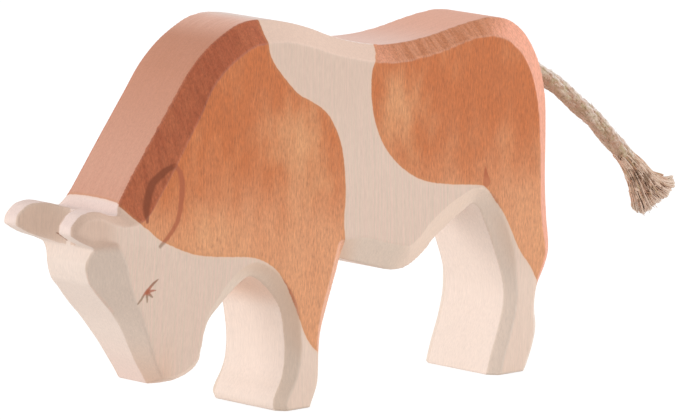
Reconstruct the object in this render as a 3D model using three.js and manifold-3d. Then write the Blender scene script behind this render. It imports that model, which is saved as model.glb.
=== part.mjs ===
// A wooden toy bull with a rope tail, in millimetres.
// +Z is up, the head points to -X, and the board's thickness runs along Y.
// The animal is sawn from one maple board. Its edges are then cut back by hand in flat chamfers
// of changing width, a notch is gouged between the horns, the cheeks are thinned towards the
// muzzle, and the end of a hemp rope is glued into a blind hole in the rump.

import * as THREE from 'three';
import { mergeVertices } from 'three/addons/utils/BufferGeometryUtils.js';
import Module from 'manifold-3d';

const wasm = await Module();
wasm.setup();

// Driving dimensions.

const boardThickness = 28;

// Heights above the ground.
const humpHeight = 98.9;
const saddleHeight = 88.6;
const rumpHeight = 92.1;
const pollHeight = 55.2;
const muzzleHeight = 10.8;
const jawHeight = 15.6;
const throatHeight = 35.2;
const elbowHeight = 36.2;
const bellyHeight = 31.1;
const groinHeight = 45.0;
const hockHeight = 30.0;

// The legs, along the ground, and the length that is left on them until they are sawn off flat.
const frontHoofLength = 11.3;
const hoofSpacing = 61.0;
const rearHoofLength = 14.3;
const legWaste = 5;

// How far each place lies in front of the front hoof's toe, or behind it.
const pollReach = 51.0;
const muzzleReach = 37.1;
const throatReach = 8.8;
const humpReach = 5.6;
const saddleSetback = 39.9;
const bellySetback = 39.6;

// The elbow and the hock stand out behind their heels, the groin in front of the rear toe.
const elbowOverhang = 10.3;
const hockOverhang = 8.1;
const groinOverhang = 5.1;
const rumpInset = 13.0;

// The top of the head, measured from the poll, the corner where the horns meet the neck.
const hornLength = 16.4;
const hornDrop = 3.0;
const hornRootLength = 6.4;
const hornRootDrop = 8.1;
const browLength = 7.2;
const browDrop = 12.6;
const chinLength = 12.2;

// Chamfers. The inset runs in over the side face, the depth goes into the board's thickness.
const hornChamferInset = 1.7;
const hornChamferDepth = 1.3;
const neckChamferInset = 7.2;
const neckChamferDepth = 4.5;
const humpChamferInset = 5.5;
const backChamferInset = 4.1;
const backChamferDepth = 4.0;
const buttockChamferInset = 6.2;
const thighChamferInset = 4.9;
const thighChamferDepth = 3.7;
const shinChamferInset = 1.9;
const legChamferDepth = 2.8;
const flankChamferInset = 6.0;
const bellyChamferInset = 6.6;
const bellyChamferDepth = 3.0;
const forelegChamferInset = 3.1;
const forelegChamferDepth = 2.2;
const heelChamferInset = 2.0;
const throatChamferInset = 3.8;
const throatChamferDepth = 2.2;
const jawChamferInset = 1.3;
const muzzleChamferInset = 2.0;
const muzzleChamferDepth = 8.6;
const browChamferInset = 8.3;
const browChamferDepth = 6.5;
const farNoseInset = 4.9;
const farMuzzleInset = 3.9;
const farMuzzleDepth = 8.9;

// The notch between the horns is a half ellipse in plan, its back wall leaning forward.
const notchWidth = 15.4;
const notchLength = 11.0;
const notchToPoll = 5.2;
const notchLean = 11;

// The cheeks thin towards the muzzle, from a crease between the brow and the throat.
const cheekTaper = 6;

// The rope tail and its glued hole.
const ropeDiameter = 4.6;
const holeClearance = 0.3;
const holeDepth = 10;
const tailHeight = 77;
const holeTilt = 12;

// The rope's free stretch after the mouth of the hole, as run and rise from the mouth.
const ropeRoute = [
  [2.7, -0.45],
  [5.4, -1.3],
  [8.1, -2.5],
  [10.8, -4.1],
  [13.5, -5.8],
  [16.1, -7.6],
  [19.4, -10.0],
  [22.6, -12.4],
  [25.9, -15.0],
  [29.1, -17.7],
  [32.2, -20.5],
  [35.3, -23.4],
  [38.3, -26.3],
  [41.2, -29.2],
  [43.8, -32.1],
];

// The rope's three strands opened beyond its end: run, side and rise from the rope's end.
const openedStrands = [
  [[0.7, -0.7, -3.4], [0.4, -1.2, -7.0], [0.5, -1.4, -10.5]],
  [[2.1, 0.9, -3.0], [4.3, 1.5, -6.0], [6.4, 1.8, -9.0]],
  [[2.9, -0.2, -2.2], [6.4, -0.5, -4.2], [9.6, -0.7, -5.2], [12.2, -0.8, -5.4]],
];
const strandRootRadius = 1.7;
const strandEndRadius = 2.5;
const strandTipShare = 0.7;
const collarLength = 1.6;
const ropeToTuftGap = 0.3;

// How finely the curves are cut up.
const stepsPerSpan = 3;
const ropeSides = 10;
const ropeSteps = 20;
const strandSides = 10;
const strandSteps = 6;
const holeSides = 40;
const notchSides = 48;

const maple = new THREE.MeshStandardMaterial({ color: 0xe3c3a4, roughness: 0.6, metalness: 0 });
const hempRope = new THREE.MeshStandardMaterial({ color: 0xa4876e, roughness: 0.9, metalness: 0 });
const hempFibre = new THREE.MeshStandardMaterial({ color: 0xa98c70, roughness: 1, metalness: 0 });

// Solids and geometries

function toSolid(geometry) {
  const bare = geometry.clone();
  bare.deleteAttribute('normal');
  bare.deleteAttribute('uv');
  const merged = mergeVertices(bare, 1e-4);
  return new wasm.Manifold(new wasm.Mesh({
    numProp: 3,
    vertProperties: new Float32Array(merged.attributes.position.array),
    triVerts: new Uint32Array(merged.index.array),
  }));
}

function toGeometry(solid) {
  const mesh = solid.getMesh();
  const geometry = new THREE.BufferGeometry();
  geometry.setAttribute('position', new THREE.BufferAttribute(mesh.vertProperties, 3));
  geometry.setIndex(new THREE.BufferAttribute(mesh.triVerts, 1));
  geometry.computeVertexNormals();
  return geometry;
}

// Triangles that fill a closed outline, turned the same way round as the outline itself.
function filled(contour) {
  const triangles = THREE.ShapeUtils.triangulateShape(contour, []);
  const areas = triangles.map((corners) => THREE.ShapeUtils.area(corners.map((i) => contour[i])));
  const covered = areas.reduce((sum, area) => sum + area, 0);
  const isAlike = covered * THREE.ShapeUtils.area(contour) > 0;
  return isAlike ? triangles : triangles.map(([a, b, c]) => [c, b, a]);
}

// A closed skin over rings of equal length, with the given triangles over its first and last ring.
function skinOverRings(rings, firstCap, lastCap) {
  const count = rings[0].length;
  const geometry = new THREE.BufferGeometry().setFromPoints(rings.flat());
  const index = [];
  for (let r = 0; r < rings.length - 1; r += 1) {
    for (let i = 0; i < count; i += 1) {
      const a = r * count + i;
      const b = r * count + ((i + 1) % count);
      index.push(a, b, b + count, a, b + count, a + count);
    }
  }
  const last = (rings.length - 1) * count;
  for (const [a, b, c] of firstCap) index.push(c, b, a);
  for (const [a, b, c] of lastCap) index.push(last + a, last + b, last + c);
  geometry.setIndex(index);
  return geometry;
}

// The outline of the board

// Landmarks, with X measured from the toe of the front hoof.
const frontToe = { x: 0, z: 0 };
const frontHeel = { x: frontHoofLength, z: 0 };
const rearToe = { x: frontHeel.x + hoofSpacing, z: 0 };
const rearHeel = { x: rearToe.x + rearHoofLength, z: 0 };
const hump = { x: -humpReach, z: humpHeight };
const saddle = { x: saddleSetback, z: saddleHeight };
const rump = { x: rearHeel.x - rumpInset, z: rumpHeight };
const hock = { x: rearHeel.x + hockOverhang, z: hockHeight };
const groin = { x: rearToe.x - groinOverhang, z: groinHeight };
const belly = { x: bellySetback, z: bellyHeight };
const elbow = { x: frontHeel.x + elbowOverhang, z: elbowHeight };
const throat = { x: -throatReach, z: throatHeight };
const muzzle = { x: -muzzleReach, z: muzzleHeight };
const jaw = { x: muzzle.x + chinLength, z: jawHeight };
const poll = { x: -pollReach, z: pollHeight };
const hornTip = { x: poll.x - hornLength, z: poll.z - hornDrop };
const hornRoot = { x: poll.x - hornRootLength, z: poll.z - hornRootDrop };
const brow = { x: poll.x - browLength, z: poll.z - browDrop };

// A station is a place on the sawn outline with the chamfer that is cut there.
function at(landmark, inset, depth) {
  return { ...landmark, inset, depth };
}

// A station between two landmarks: its share of the way from one to the other, and how far the
// outline bulges out of the straight line between them.
function between(from, to, share, bulge, inset, depth) {
  const run = to.x - from.x;
  const rise = to.z - from.z;
  const length = Math.hypot(run, rise);
  const x = from.x + share * run - (bulge * rise) / length;
  const z = from.z + share * rise + (bulge * run) / length;
  return { x, z, inset, depth };
}

// The end of a leg's waste, below the sole.
function belowGround(landmark, run, inset, depth) {
  return { x: landmark.x + run, z: landmark.z - legWaste, inset, depth };
}

// On the nose the knife went across level, so the inset there runs straight back. The chamfer on
// the far side, +Y, is cut further back than the near one, and to a depth of its own.
function onNose(station, farDepth) {
  const far = { inset: Math.max(station.inset, farNoseInset), depth: farDepth };
  return { ...station, isLevel: true, far };
}

// The crease that bounds the thinned cheek ends at two of the stations.
function atCreaseEnd(station) {
  return { ...station, isCreaseEnd: true };
}

const muzzleCorner = {
  ...at(muzzle, muzzleChamferInset, muzzleChamferDepth),
  far: { inset: farMuzzleInset, depth: farMuzzleDepth },
};
const pollCorner = at(poll, 3.0, 2.6);
const elbowCorner = at(elbow, 5.6, legChamferDepth);
const hornRootCorner = atCreaseEnd(at(hornRoot, 4.2, 4.0));
const hornTipCorner = at(hornTip, 1.1, hornChamferDepth);

// Each run is smooth, and the runs meet in the outline's corners.
const hornTopRun = [
  hornTipCorner,
  between(hornTip, poll, 0.04, 1.9, hornChamferInset, hornChamferDepth),
  between(hornTip, poll, 0.12, 2.9, hornChamferInset, hornChamferDepth),
  between(hornTip, poll, 0.25, 3.9, hornChamferInset, hornChamferDepth),
  between(hornTip, poll, 0.41, 3.9, hornChamferInset, hornChamferDepth),
  between(hornTip, poll, 0.58, 3.2, hornChamferInset, hornChamferDepth),
  between(hornTip, poll, 0.72, 1.8, hornChamferInset, hornChamferDepth),
  between(hornTip, poll, 0.87, 0.6, 2.0, 1.7),
  pollCorner,
];

const neckAndBackRun = [
  pollCorner,
  between(poll, hump, 0.04, 0.7, 6.6, 4.0),
  between(poll, hump, 0.14, 1.9, neckChamferInset, neckChamferDepth),
  between(poll, hump, 0.28, 3.3, neckChamferInset, neckChamferDepth),
  between(poll, hump, 0.41, 4.5, 6.7, neckChamferDepth),
  between(poll, hump, 0.53, 5.6, 6.3, neckChamferDepth),
  between(poll, hump, 0.64, 6.6, humpChamferInset, neckChamferDepth),
  between(poll, hump, 0.76, 6.3, humpChamferInset, neckChamferDepth),
  between(poll, hump, 0.86, 4.8, humpChamferInset, neckChamferDepth),
  between(poll, hump, 0.94, 2.8, humpChamferInset, neckChamferDepth),
  at(hump, humpChamferInset, neckChamferDepth),
  between(hump, saddle, 0.12, 0.8, 5.0, 4.3),
  between(hump, saddle, 0.27, 0.9, 4.6, backChamferDepth),
  between(hump, saddle, 0.42, 0.4, 4.6, backChamferDepth),
  between(hump, saddle, 0.55, -0.5, 4.4, backChamferDepth),
  between(hump, saddle, 0.71, -1.0, backChamferInset, backChamferDepth),
  between(hump, saddle, 0.85, -0.9, backChamferInset, backChamferDepth),
  at(saddle, backChamferInset, backChamferDepth),
  between(saddle, rump, 0.22, -0.6, 3.8, backChamferDepth),
  between(saddle, rump, 0.42, -0.6, 3.6, backChamferDepth),
  between(saddle, rump, 0.63, -0.1, 3.3, backChamferDepth),
  between(saddle, rump, 0.83, 0.2, 3.4, backChamferDepth),
  at(rump, 4.4, backChamferDepth),
  between(rump, hock, 0.04, 5.2, 5.6, backChamferDepth),
  between(rump, hock, 0.08, 8.0, buttockChamferInset, backChamferDepth),
  between(rump, hock, 0.14, 10.3, buttockChamferInset, thighChamferDepth),
  between(rump, hock, 0.23, 12.0, buttockChamferInset, thighChamferDepth),
  between(rump, hock, 0.32, 12.4, buttockChamferInset, thighChamferDepth),
  between(rump, hock, 0.43, 11.4, 5.9, thighChamferDepth),
  between(rump, hock, 0.56, 8.7, 5.3, thighChamferDepth),
  between(rump, hock, 0.73, 4.7, thighChamferInset, thighChamferDepth),
  between(rump, hock, 0.87, 2.1, thighChamferInset, thighChamferDepth),
  at(hock, 4.3, thighChamferDepth),
  between(hock, rearHeel, 0.16, -0.4, 4.0, thighChamferDepth),
  between(hock, rearHeel, 0.31, -1.6, 3.8, thighChamferDepth),
  between(hock, rearHeel, 0.49, -1.0, 3.8, thighChamferDepth),
  between(hock, rearHeel, 0.65, 0.9, 3.9, thighChamferDepth),
  between(hock, rearHeel, 0.83, 0.9, 3.8, thighChamferDepth),
  at(rearHeel, 3.8, thighChamferDepth),
  belowGround(rearHeel, -2.6, 3.8, thighChamferDepth),
];

const rearLegAndBellyRun = [
  belowGround(rearToe, -1.0, shinChamferInset, legChamferDepth),
  at(rearToe, shinChamferInset, legChamferDepth),
  between(rearToe, groin, 0.11, -2.2, shinChamferInset, legChamferDepth),
  between(rearToe, groin, 0.24, -5.3, shinChamferInset, legChamferDepth),
  between(rearToe, groin, 0.37, -7.7, shinChamferInset, legChamferDepth),
  between(rearToe, groin, 0.46, -8.4, shinChamferInset, legChamferDepth),
  between(rearToe, groin, 0.56, -7.9, 2.8, legChamferDepth),
  between(rearToe, groin, 0.67, -6.7, 3.7, legChamferDepth),
  between(rearToe, groin, 0.78, -5.3, 4.1, legChamferDepth),
  between(rearToe, groin, 0.89, -3.5, 4.1, legChamferDepth),
  between(rearToe, groin, 0.97, -2.0, 4.2, legChamferDepth),
  at(groin, 4.6, legChamferDepth),
  between(groin, belly, 0.12, -0.1, 5.4, legChamferDepth),
  between(groin, belly, 0.28, 0.1, flankChamferInset, legChamferDepth),
  between(groin, belly, 0.52, 0.8, flankChamferInset, legChamferDepth),
  between(groin, belly, 0.59, 1.6, flankChamferInset, bellyChamferDepth),
  between(groin, belly, 0.75, 2.2, flankChamferInset, bellyChamferDepth),
  between(groin, belly, 0.87, 1.9, flankChamferInset, bellyChamferDepth),
  at(belly, bellyChamferInset, bellyChamferDepth),
  between(belly, elbow, 0.36, 0.2, bellyChamferInset, bellyChamferDepth),
  between(belly, elbow, 0.73, 0.1, bellyChamferInset, bellyChamferDepth),
  elbowCorner,
];

const forelegBackRun = [
  elbowCorner,
  between(elbow, frontHeel, 0.08, -0.5, 3.4, 2.3),
  between(elbow, frontHeel, 0.17, -0.9, forelegChamferInset, forelegChamferDepth),
  between(elbow, frontHeel, 0.34, -1.4, forelegChamferInset, forelegChamferDepth),
  between(elbow, frontHeel, 0.51, -1.7, 2.6, forelegChamferDepth),
  between(elbow, frontHeel, 0.67, -0.7, heelChamferInset, forelegChamferDepth),
  between(elbow, frontHeel, 0.83, 0.7, heelChamferInset, forelegChamferDepth),
  between(elbow, frontHeel, 0.92, 0.5, heelChamferInset, forelegChamferDepth),
  at(frontHeel, heelChamferInset, forelegChamferDepth),
  belowGround(frontHeel, -1.5, heelChamferInset, forelegChamferDepth),
];

const forelegFrontAndJawRun = [
  belowGround(frontToe, 1.2, shinChamferInset, legChamferDepth),
  at(frontToe, shinChamferInset, legChamferDepth),
  between(frontToe, throat, 0.05, 0.1, shinChamferInset, legChamferDepth),
  between(frontToe, throat, 0.11, -1.4, shinChamferInset, legChamferDepth),
  between(frontToe, throat, 0.18, -3.8, 2.2, legChamferDepth),
  between(frontToe, throat, 0.25, -5.4, 2.5, legChamferDepth),
  between(frontToe, throat, 0.38, -7.1, 2.9, legChamferDepth),
  between(frontToe, throat, 0.52, -7.9, 3.0, legChamferDepth),
  between(frontToe, throat, 0.67, -8.1, 3.2, legChamferDepth),
  between(frontToe, throat, 0.80, -6.4, 3.4, legChamferDepth),
  between(frontToe, throat, 0.91, -3.9, throatChamferInset, 2.5),
  atCreaseEnd(at(throat, throatChamferInset, throatChamferDepth)),
  between(throat, jaw, 0.12, -1.7, throatChamferInset, throatChamferDepth),
  between(throat, jaw, 0.31, -3.0, 3.3, throatChamferDepth),
  between(throat, jaw, 0.46, -3.8, 2.4, throatChamferDepth),
  between(throat, jaw, 0.62, -4.5, 1.5, 2.1),
  between(throat, jaw, 0.76, -3.4, jawChamferInset, 2.2),
  between(throat, jaw, 0.89, -1.6, jawChamferInset, 2.5),
  at(jaw, jawChamferInset, 3.0),
  between(jaw, muzzle, 0.21, 1.4, jawChamferInset, 3.9),
  between(jaw, muzzle, 0.53, 1.7, jawChamferInset, 5.4),
  between(jaw, muzzle, 0.77, 1.1, 1.5, 7.2),
  muzzleCorner,
];

const noseAndBrowRun = [
  muzzleCorner,
  onNose(between(muzzle, brow, 0.08, -0.1, 2.0, muzzleChamferDepth), farMuzzleDepth),
  onNose(between(muzzle, brow, 0.20, -0.1, 2.2, 8.5), 8.8),
  onNose(between(muzzle, brow, 0.31, -0.5, 2.6, 8.2), 7.9),
  onNose(between(muzzle, brow, 0.41, -0.7, 3.0, 7.8), 6.8),
  onNose(between(muzzle, brow, 0.51, -0.8, 3.7, 7.5), 5.8),
  onNose(between(muzzle, brow, 0.62, -0.3, 4.9, 7.2), 5.2),
  onNose(between(muzzle, brow, 0.72, 0.4, 6.2, 7.0), 5.7),
  onNose(between(muzzle, brow, 0.81, 1.0, 7.4, 6.7), 6.3),
  onNose(between(muzzle, brow, 0.89, 1.4, browChamferInset, browChamferDepth), browChamferDepth),
  onNose(at(brow, browChamferInset, browChamferDepth), browChamferDepth),
  onNose(between(brow, hornRoot, 0.53, 0, 6.4, 5.8), 5.8),
  hornRootCorner,
];

const hornUndersideRun = [
  hornRootCorner,
  between(hornRoot, hornTip, 0.20, -0.1, 2.4, 2.3),
  between(hornRoot, hornTip, 0.44, 0.2, 1.5, hornChamferDepth),
  between(hornRoot, hornTip, 0.72, 0.3, 1.2, hornChamferDepth),
  hornTipCorner,
];

const outlineRuns = [
  hornTopRun,
  neckAndBackRun,
  rearLegAndBellyRun,
  forelegBackRun,
  forelegFrontAndJawRun,
  noseAndBrowRun,
  hornUndersideRun,
];

// The side face's outline lies inside the sawn one, square to it by each station's inset.
function insetPoint(before, station, after) {
  if (station.isLevel) return { ...station, x: station.x + station.inset };
  const along = new THREE.Vector2(after.x - before.x, after.z - before.z).normalize();
  const x = station.x + along.y * station.inset;
  const z = station.z - along.x * station.inset;
  return { ...station, x, z };
}

// At a corner the direction square to the outline is halfway between those of its two runs.
function cornerPoint(before, corner, after) {
  const arriving = new THREE.Vector2(corner.x - before.x, corner.z - before.z).normalize();
  const leaving = new THREE.Vector2(after.x - corner.x, after.z - corner.z).normalize();
  const along = arriving.add(leaving).normalize();
  const x = corner.x + along.y * corner.inset;
  const z = corner.z - along.x * corner.inset;
  return { ...corner, x, z };
}

function isSamePlace(a, b) {
  return Math.hypot(a.x - b.x, a.z - b.z) < 1e-6;
}

// The inner points of one run, given the stations that lie before its start and after its end.
function insetRun(run, before, after) {
  return run.map((station, i) => {
    if (i === 0) return cornerPoint(before, station, run[1]);
    if (i === run.length - 1) return cornerPoint(run[i - 1], station, after);
    return insetPoint(run[i - 1], station, run[i + 1]);
  });
}

// Samples a smooth curve through the points, the same number of steps between each two.
function sampled(points, isJoined) {
  const curve = new THREE.CatmullRomCurve3(points, false, 'centripetal');
  const spans = points.length - 1;
  const total = spans * stepsPerSpan + (isJoined ? 0 : 1);
  return Array.from({ length: total }, (_, i) => curve.getPoint(i / (spans * stepsPerSpan)));
}

// The near or far chamfer's rings, both laid on the +Y side: the sawn edge, the side face's edge,
// and the two places in the side face's edge where the crease of the cheek ends.
function outlineRings(isFar) {
  const halfThickness = boardThickness / 2;
  const runs = outlineRuns.map((run) => run.map((p) => (isFar ? { ...p, ...p.far } : p)));
  const sawn = [];
  const face = [];
  const creaseEnds = [];
  runs.forEach((run, r) => {
    const previous = runs[(r + runs.length - 1) % runs.length];
    const next = runs[(r + 1) % runs.length];
    const isJoined = isSamePlace(run.at(-1), next[0]);
    const before = isSamePlace(previous.at(-1), run[0]) ? previous.at(-2) : previous.at(-1);
    const after = isJoined ? next[1] : next[0];
    const inner = insetRun(run, before, after);
    inner.forEach((station, i) => {
      const isOwn = !isJoined || i < inner.length - 1;
      if (station.isCreaseEnd && isOwn) creaseEnds.push(face.length + i * stepsPerSpan);
    });
    const sawnPoints = run.map((p) => new THREE.Vector3(p.x, halfThickness - p.depth, p.z));
    const facePoints = inner.map((p) => new THREE.Vector3(p.x, halfThickness, p.z));
    sawn.push(...sampled(sawnPoints, isJoined));
    face.push(...sampled(facePoints, isJoined));
  });
  return { sawn, face, creaseEnds };
}

// Thins the cheek: between the crease's ends the side face leans in, by its distance below the crease.
function thinCheek({ face, creaseEnds }) {
  const [throatEnd, browEnd] = creaseEnds;
  const crease = face[throatEnd].clone().sub(face[browEnd]).normalize();
  const slope = Math.tan(THREE.MathUtils.degToRad(cheekTaper));
  for (const point of face.slice(throatEnd + 1, browEnd)) {
    const offset = point.clone().sub(face[browEnd]);
    const below = offset.x * crease.z - offset.z * crease.x;
    point.y -= slope * below;
  }
}

// The side face is two flat faces that meet in the crease: the body's and the cheek's.
function sideFaces({ face, creaseEnds }) {
  const [throatEnd, browEnd] = creaseEnds;
  const places = face.map((_, i) => i);
  const cheek = places.slice(throatEnd, browEnd + 1);
  const trunk = [...places.slice(browEnd), ...places.slice(0, throatEnd + 1)];
  return [cheek, trunk].flatMap((part) => {
    const contour = part.map((i) => new THREE.Vector2(face[i].x, face[i].z));
    return filled(contour).map((triangle) => triangle.map((i) => part[i]));
  });
}

function mirrored(ring) {
  return ring.map((p) => new THREE.Vector3(p.x, -p.y, p.z));
}

// Cutters

// The gouge that opens the notch: an upright elliptical prism, leaning so that it leaves the brow.
function hornNotchCutter() {
  const reach = notchLength * 2;
  const height = 60;
  const ellipse = new THREE.Shape();
  ellipse.absellipse(0, 0, notchLength, notchWidth / 2, -Math.PI / 2, Math.PI / 2, false, 0);
  ellipse.lineTo(-reach, notchWidth / 2);
  ellipse.lineTo(-reach, -notchWidth / 2);
  const geometry = new THREE.ExtrudeGeometry(ellipse, {
    depth: height,
    bevelEnabled: false,
    curveSegments: notchSides,
  });
  geometry.translate(0, 0, -height / 2);
  geometry.rotateY(THREE.MathUtils.degToRad(notchLean));
  geometry.translate(poll.x - notchToPoll - notchLength, 0, poll.z);
  return toSolid(geometry);
}

// The waste below the ground line.
function groundCutter() {
  const size = 400;
  return toSolid(new THREE.BoxGeometry(size, size, size).translate(0, 0, -size / 2));
}

// Places along the tail

// Where the rump's sawn surface stands at the height of the tail.
function rumpSurfaceAt(sawn, height) {
  const behind = sawn.filter((p) => p.x > rump.x && p.z > hock.z);
  const low = behind.filter((p) => p.z <= height).reduce((a, b) => (b.z > a.z ? b : a));
  const high = behind.filter((p) => p.z > height).reduce((a, b) => (b.z < a.z ? b : a));
  return THREE.MathUtils.mapLinear(height, low.z, high.z, low.x, high.x);
}

const holeDirection = new THREE.Vector3(1, 0, 0).applyAxisAngle(
  new THREE.Vector3(0, 1, 0),
  THREE.MathUtils.degToRad(holeTilt),
);

function tailHoleCutter(mouth) {
  const outside = 8;
  const length = holeDepth + outside;
  const radius = ropeDiameter / 2 + holeClearance;
  const geometry = new THREE.CylinderGeometry(radius, radius, length, holeSides);
  geometry.rotateZ(-Math.PI / 2);
  geometry.translate((outside - holeDepth) / 2, 0, 0);
  geometry.rotateY(THREE.MathUtils.degToRad(holeTilt));
  geometry.translate(mouth.x, mouth.y, mouth.z);
  return toSolid(geometry);
}

// The sub-parts

function bodyBlock(near, far, mouth) {
  const across = [mirrored(near.face), mirrored(near.sawn), far.sawn, far.face];
  const skin = skinOverRings(across, sideFaces(near), sideFaces(far));
  const block = toSolid(skin)
    .subtract(groundCutter())
    .subtract(hornNotchCutter())
    .subtract(tailHoleCutter(mouth));
  const mesh = new THREE.Mesh(toGeometry(block), maple);
  mesh.name = 'body_block';
  return mesh;
}

// The rope starts at the bottom of its hole and leaves it straight.
function ropeCurve(mouth) {
  const bottom = mouth.clone().addScaledVector(holeDirection, holeClearance - holeDepth);
  const middle = bottom.clone().lerp(mouth, 0.5);
  const free = ropeRoute.map(([run, rise]) => new THREE.Vector3(mouth.x + run, 0, mouth.z + rise));
  return new THREE.CatmullRomCurve3([bottom, middle, mouth, ...free], false, 'centripetal');
}

function tailRope(curve) {
  const section = new THREE.Shape();
  section.absarc(0, 0, ropeDiameter / 2, 0, 2 * Math.PI, false);
  const geometry = new THREE.ExtrudeGeometry(section, {
    extrudePath: curve,
    steps: ropeSteps,
    curveSegments: ropeSides,
    bevelEnabled: false,
  });
  const mesh = new THREE.Mesh(geometry, hempRope);
  mesh.name = 'tail_rope';
  return mesh;
}

// One opened strand: a round section along a curve, growing towards its loose end and rounded there.
function strand(points) {
  const curve = new THREE.CatmullRomCurve3(points, false, 'centripetal');
  const frames = curve.computeFrenetFrames(strandSteps, false);
  const rings = [];
  for (let i = 0; i <= strandSteps; i += 1) {
    const share = i / strandSteps;
    const grown = THREE.MathUtils.lerp(strandRootRadius, strandEndRadius, share);
    const rounded = i === strandSteps ? strandTipShare : 1;
    const centre = curve.getPointAt(share);
    rings.push(Array.from({ length: strandSides }, (_, k) => {
      const angle = (2 * Math.PI * k) / strandSides;
      return centre.clone()
        .addScaledVector(frames.normals[i], grown * rounded * Math.cos(angle))
        .addScaledVector(frames.binormals[i], grown * rounded * Math.sin(angle));
    }));
  }
  const cap = Array.from({ length: strandSides - 2 }, (_, k) => [0, k + 1, k + 2]);
  return toSolid(skinOverRings(rings, cap, cap));
}

// The frayed end: a short collar that faces the rope's end, and the three opened strands.
function tailTuft(curve) {
  const end = curve.getPointAt(1);
  const direction = curve.getTangentAt(1);
  const collar = new THREE.CylinderGeometry(ropeDiameter / 2, ropeDiameter / 2, collarLength, ropeSides);
  collar.translate(0, ropeToTuftGap + collarLength / 2, 0);
  collar.applyQuaternion(new THREE.Quaternion().setFromUnitVectors(new THREE.Vector3(0, 1, 0), direction));
  let tuft = toSolid(collar);
  const start = direction.clone().multiplyScalar(ropeToTuftGap + collarLength / 2);
  for (const route of openedStrands) {
    const points = route.map(([run, side, rise]) => new THREE.Vector3(run, side, rise));
    tuft = tuft.add(strand([start, ...points]));
  }
  const mesh = new THREE.Mesh(toGeometry(tuft), hempFibre);
  mesh.name = 'tail_tuft';
  mesh.position.copy(end);
  return mesh;
}

const nearRings = outlineRings(false);
const farRings = outlineRings(true);
thinCheek(nearRings);
thinCheek(farRings);
const mouth = new THREE.Vector3(rumpSurfaceAt(nearRings.sawn, tailHeight), 0, tailHeight);
const tailCurve = ropeCurve(mouth);
const body = bodyBlock(nearRings, farRings, mouth);

// The origin stands on the ground under the middle of the wooden block.
body.geometry.computeBoundingBox();
const blockBox = body.geometry.boundingBox;

const bull = new THREE.Group();
bull.add(body, tailRope(tailCurve), tailTuft(tailCurve));
bull.position.x = -(blockBox.min.x + blockBox.max.x) / 2;

export default bull;
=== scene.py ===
# %% [markdown]
# # A wooden toy bull with a rope tail
# A handmade toy bull: one thick maple board, sawn to an outline and cut back along every edge with a knife,
# two thin orange patches, an eye and an ear drawn on the wood, and a short piece of hemp rope glued into the
# rump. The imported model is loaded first. It holds the real sizes and it never moves, so every new surface
# below is laid over it, in metres.

import math

import bmesh
import bpy
import numpy as np
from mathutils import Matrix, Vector


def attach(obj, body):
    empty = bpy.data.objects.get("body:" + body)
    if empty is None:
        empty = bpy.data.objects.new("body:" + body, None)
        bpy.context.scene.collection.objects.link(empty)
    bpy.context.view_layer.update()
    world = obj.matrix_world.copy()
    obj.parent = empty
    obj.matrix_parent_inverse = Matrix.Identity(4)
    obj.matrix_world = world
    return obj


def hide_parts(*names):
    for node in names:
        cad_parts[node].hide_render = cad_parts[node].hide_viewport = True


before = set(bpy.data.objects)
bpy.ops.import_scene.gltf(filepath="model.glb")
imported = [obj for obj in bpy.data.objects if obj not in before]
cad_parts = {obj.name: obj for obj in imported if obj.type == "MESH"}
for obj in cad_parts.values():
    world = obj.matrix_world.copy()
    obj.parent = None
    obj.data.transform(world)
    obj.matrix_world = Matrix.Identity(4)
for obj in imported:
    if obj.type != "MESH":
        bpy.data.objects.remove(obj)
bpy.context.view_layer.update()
MM = 0.001
print("packed pieces:", sorted(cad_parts))

# %% [markdown]
# ## The camera
# The bull stands turned a little more than 40 degrees, with its head towards the viewer, seen from just above
# and from far off, so its upright lines stay nearly parallel. A long lens two metres away gives that look.
# The view is set first because the rope tail has to lie inside it.

# %% Camera
TURN = math.radians(41.95)
TILT = math.radians(9.52)
EYE_DISTANCE = 2.0
LENS = 423.5
LOOK_AT = Vector((5.75 * MM, -14 * MM, 49.03 * MM))


def make_camera():
    """A camera on the head's side of the near face, turned TURN from square on and raised by TILT."""
    back = Vector((-math.sin(TURN) * math.cos(TILT), -math.cos(TURN) * math.cos(TILT), math.sin(TILT)))
    data = bpy.data.cameras.new("camera")
    data.lens = LENS
    data.clip_start = 0.1
    data.clip_end = 20
    camera = bpy.data.objects.new("camera", data)
    bpy.context.scene.collection.objects.link(camera)
    camera.location = LOOK_AT + back * EYE_DISTANCE
    camera.rotation_mode = "QUATERNION"
    camera.rotation_quaternion = (-back).to_track_quat("-Z", "Y")
    bpy.context.scene.camera = camera
    return camera


camera = make_camera()
print("camera at", [round(c, 3) for c in camera.location])

# %% [markdown]
# ## Lines and tubes
# The rope, its loose hairs and its frayed end are all tubes along lines. A line through a few chosen points
# is made smooth with a Catmull-Rom curve, then cut into even steps. A tube is a grid of two parameters, the
# way round and the way along, so one function can make thousands of them in one array, and another can store
# numbers on it, such as how far along a place lies, for the materials to use later.

# %% Smooth lines
RNG = np.random.default_rng(12)


def smooth_line(points, count):
    """A Catmull-Rom curve through the points: each span is the cubic that leaves and reaches its ends along
    the chord of their neighbours. It is then sampled at count places, evenly by length."""
    p = np.asarray(points, float)
    p = np.vstack([2 * p[0] - p[1], p, 2 * p[-1] - p[-2]])
    t = np.linspace(0, len(p) - 3 - 1e-9, 40 * (len(p) - 3))
    i = t.astype(int)
    u = (t - i)[:, None]
    a, b, c, d = p[i], p[i + 1], p[i + 2], p[i + 3]
    fine = 0.5 * (2 * b + (c - a) * u + (2 * a - 5 * b + 4 * c - d) * u**2 + (3 * b - a - 3 * c + d) * u**3)
    steps = np.r_[0, np.cumsum(np.linalg.norm(np.diff(fine, axis=0), axis=1))]
    even = np.linspace(0, steps[-1], count)
    return np.stack([np.interp(even, steps, fine[:, k]) for k in range(3)], axis=1)


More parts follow.
